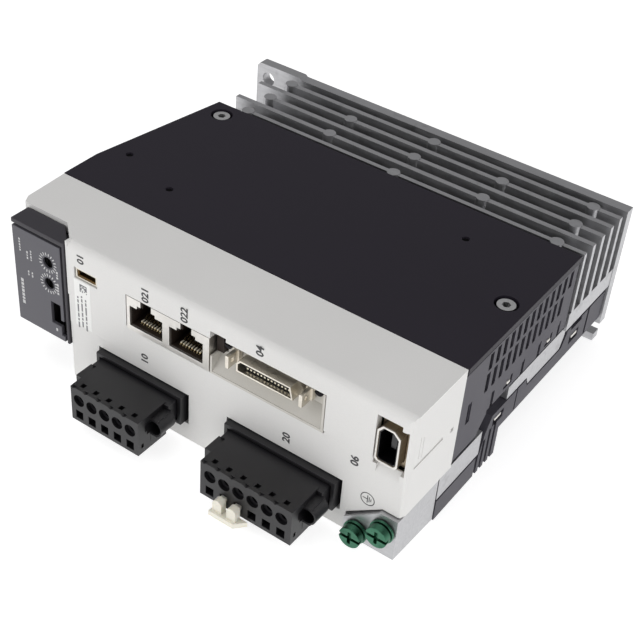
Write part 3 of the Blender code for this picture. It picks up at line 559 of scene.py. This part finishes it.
# sticker with a generic code pattern and rules
extra("sticker", [("box", -45.9, -39.4, -0.05, 0.06, 24.9, 42.6)], M["sticker"], width=0.02)
seed = 7
cells = []
for i in range(7):
    for k in range(7):
        seed = (seed * 1103515245 + 12345) % 2147483648
        if (seed >> 16) % 100 < 54 or i == 0 or k == 6:
            cells.append(("box", -43.6 + 0.42 * i, -43.2 + 0.42 * i, -0.08, -0.04, 38.6 + 0.42 * k, 39.0 + 0.42 * k))
extra("sticker_code", cells, M["grey_print"], merge=False)
rules = []
for c, x in enumerate((-44.6, -43.0, -41.4)):
    z = 24.2 + 0.8 * (c % 2)
    for w in (2.2, 0.9, 1.6, 3.0, 1.2, 0.7, 1.9):
        if z + w > 37.4:
            break
        rules.append(("box", x - 0.28, x + 0.28, -0.08, -0.04, z, z + w))
        z += w + 0.5
extra("sticker_rules", rules, M["grey_print"], merge=False)

# ------------------------------------------------------------------ display print
PY = -0.39
ticks = []
DX = -56.3
extra("dial_collars", [("cyl", "y", (-56.7, 0.02, z), 2.64, 0.74, 40) for z in (43.4, 35.5)], M["face"],
      cuts=[("cyl", "y", (DX, 0.0, z), 2.0, 3.0, 32) for z in (43.4, 35.5)], merge=False)
for zc in (43.4, 35.5):
    for k in range(18):
        a = 2 * pi * k / 18
        r0, r1, hw = 2.6, 3.65, 0.17
        ca, sa = cos(a), sin(a)
        pts = [(DX + ca * r0 - sa * hw, zc + sa * r0 + ca * hw), (DX + ca * r1 - sa * hw, zc + sa * r1 + ca * hw),
               (DX + ca * r1 + sa * hw, zc + sa * r1 - ca * hw), (DX + ca * r0 + sa * hw, zc + sa * r0 - ca * hw)]
        ticks.append(("out", pts, "y", PY, PY + 0.06))
extra("dial_ticks", ticks, M["mark"], merge=False)
bars = []
for x, z0, widths, t in ((-68.0, 42.6, (0.7, 0.5, 0.8, 0.6, 0.7), 0.30), (-65.0, 40.8, (0.8, 0.5, 0.9), 0.26),
                         (-65.0, 34.6, (0.6, 0.8), 0.26), (-63.4, 40.8, (0.5, 0.9, 0.6, 0.7), 0.26), (-63.4, 34.4, (0.9, 0.7), 0.26),
                         (-68.2, 22.0, (1.3, 0.9, 1.1, 1.2, 0.8, 1.1, 1.2), 0.55), (-52.6, 33.0, (0.8, 0.6, 0.7, 0.9), 0.36),
                         (-52.6, 39.0, (0.7, 0.5, 0.8), 0.36)):
    z = z0
    for w in widths:
        bars.append(("box", x - t, x + t, PY, PY + 0.06, z, z + w))
        z += w + 0.38
bars.append(("box", -54.6, -53.9, PY, PY + 0.06, 17.8, 18.9))
extra("display_rules", bars, M["mark"], merge=False)

# ------------------------------------------------------------------ linings of the sockets
def offset_out(x, d):
    return [(x - 6.25 + d, 36.0 + d), (x + 6.25 - d, 36.0 + d), (x + 6.25 - d, 43.2 - d), (x + 3.4 - d, 43.2 - d),
            (x + 3.4 - d, 44.3 - d), (x + 2.0 - d, 44.3 - d), (x + 2.0 - d, 46.35 - d), (x - 2.0 + d, 46.35 - d),
            (x - 2.0 + d, 44.3 - d), (x - 3.4 + d, 44.3 - d), (x - 3.4 + d, 43.2 - d), (x - 6.25 + d, 43.2 - d)]


for n, x in enumerate((-17.35, -2.2)):
    extra("lan_lining_%d" % (n + 1), [("out", offset_out(x, 0.03), "y", 0.75, 12.95)], M["brown"],
          cuts=[("out", offset_out(x, 0.30), "y", -1.0, 12.9)])

# ------------------------------------------------------------------ studio
floor_m = Mat("studio_floor")
floor_m.set(Base_Color=floor_m.ramp(floor_m.noise(3.0), (0.3, (0.55, 0.55, 0.55, 1)), (0.7, (0.57, 0.57, 0.57, 1))), Roughness=0.8)
floor_m.b.inputs["Emission Color"].default_value = (1.0, 1.0, 1.0, 1.0)
floor_m.b.inputs["Emission Strength"].default_value = 0.77
floor_m.b.inputs["Specular IOR Level"].default_value = 0.1
bpy.ops.mesh.primitive_plane_add(size=4.0, location=(0, 0, -0.00002))
floor = bpy.context.object
floor.name = "studio_floor"
floor.data.materials.append(floor_m.m)

sc = bpy.context.scene
sc.view_settings.view_transform = "Standard"
world = bpy.data.worlds.new("studio")
sc.world = world
world.use_nodes = True
world.node_tree.nodes["Background"].inputs["Color"].default_value = (1.0, 1.0, 1.0, 1.0)
wt = world.node_tree
back = wt.nodes["Background"]
back.inputs["Strength"].default_value = 1.0
wg = wt.nodes.new("ShaderNodeTexCoord")
wsep = wt.nodes.new("ShaderNodeSeparateXYZ")
wr = wt.nodes.new("ShaderNodeValToRGB")
wr.color_ramp.elements[0].position, wr.color_ramp.elements[0].color = 0.05, (0.50, 0.50, 0.50, 1)
wr.color_ramp.elements[1].position, wr.color_ramp.elements[1].color = 0.60, (0.24, 0.24, 0.245, 1)
wt.links.new(wg.outputs["Generated"], wsep.inputs["Vector"])
wt.links.new(wsep.outputs["Z"], wr.inputs["Fac"])
wt.links.new(wr.outputs["Color"], back.inputs["Color"])


def area(name, at, target, size, watts, size_y=None):
    light = bpy.data.lights.new(name, "AREA")
    light.energy, light.size = watts, size
    if size_y:
        light.shape, light.size_y = "RECTANGLE", size_y
    ob = bpy.data.objects.new(name, light)
    sc.collection.objects.link(ob)
    ob.location = at
    ob.rotation_euler = (Vector(target) - Vector(at)).to_track_quat("-Z", "Y").to_euler()
    return ob


area("key_front", (-0.30, -0.85, 0.55), (0, 0, 0.02), 0.7, 2.9)
area("side_right", (0.95, -0.10, 0.45), (0, 0, 0.02), 0.6, 2.7)
area("top_soft", (-0.1, -0.05, 0.95), (0, 0, 0.02), 0.8, 2.4)

cam_data = bpy.data.cameras.new("camera")
cam = bpy.data.objects.new("camera", cam_data)
sc.collection.objects.link(cam)
sc.camera = cam
cam_data.sensor_width = 36.0
cam_data.lens = 36.0 * 1301.3 / 640.0
cam_data.clip_start = 0.01
right = Vector((0.81462596, 0.5759969, 0.06791255))
down = Vector((0.40327824, -0.47837727, -0.78007811))
ahead = Vector((-0.41683475, 0.66285953, -0.62198555))
rot = Matrix((right, -down, -ahead)).transposed()
cam.matrix_world = Matrix.Translation((0.18327204, -0.27938713, 0.28177535)) @ rot.to_4x4()


bpy.context.view_layer.update()
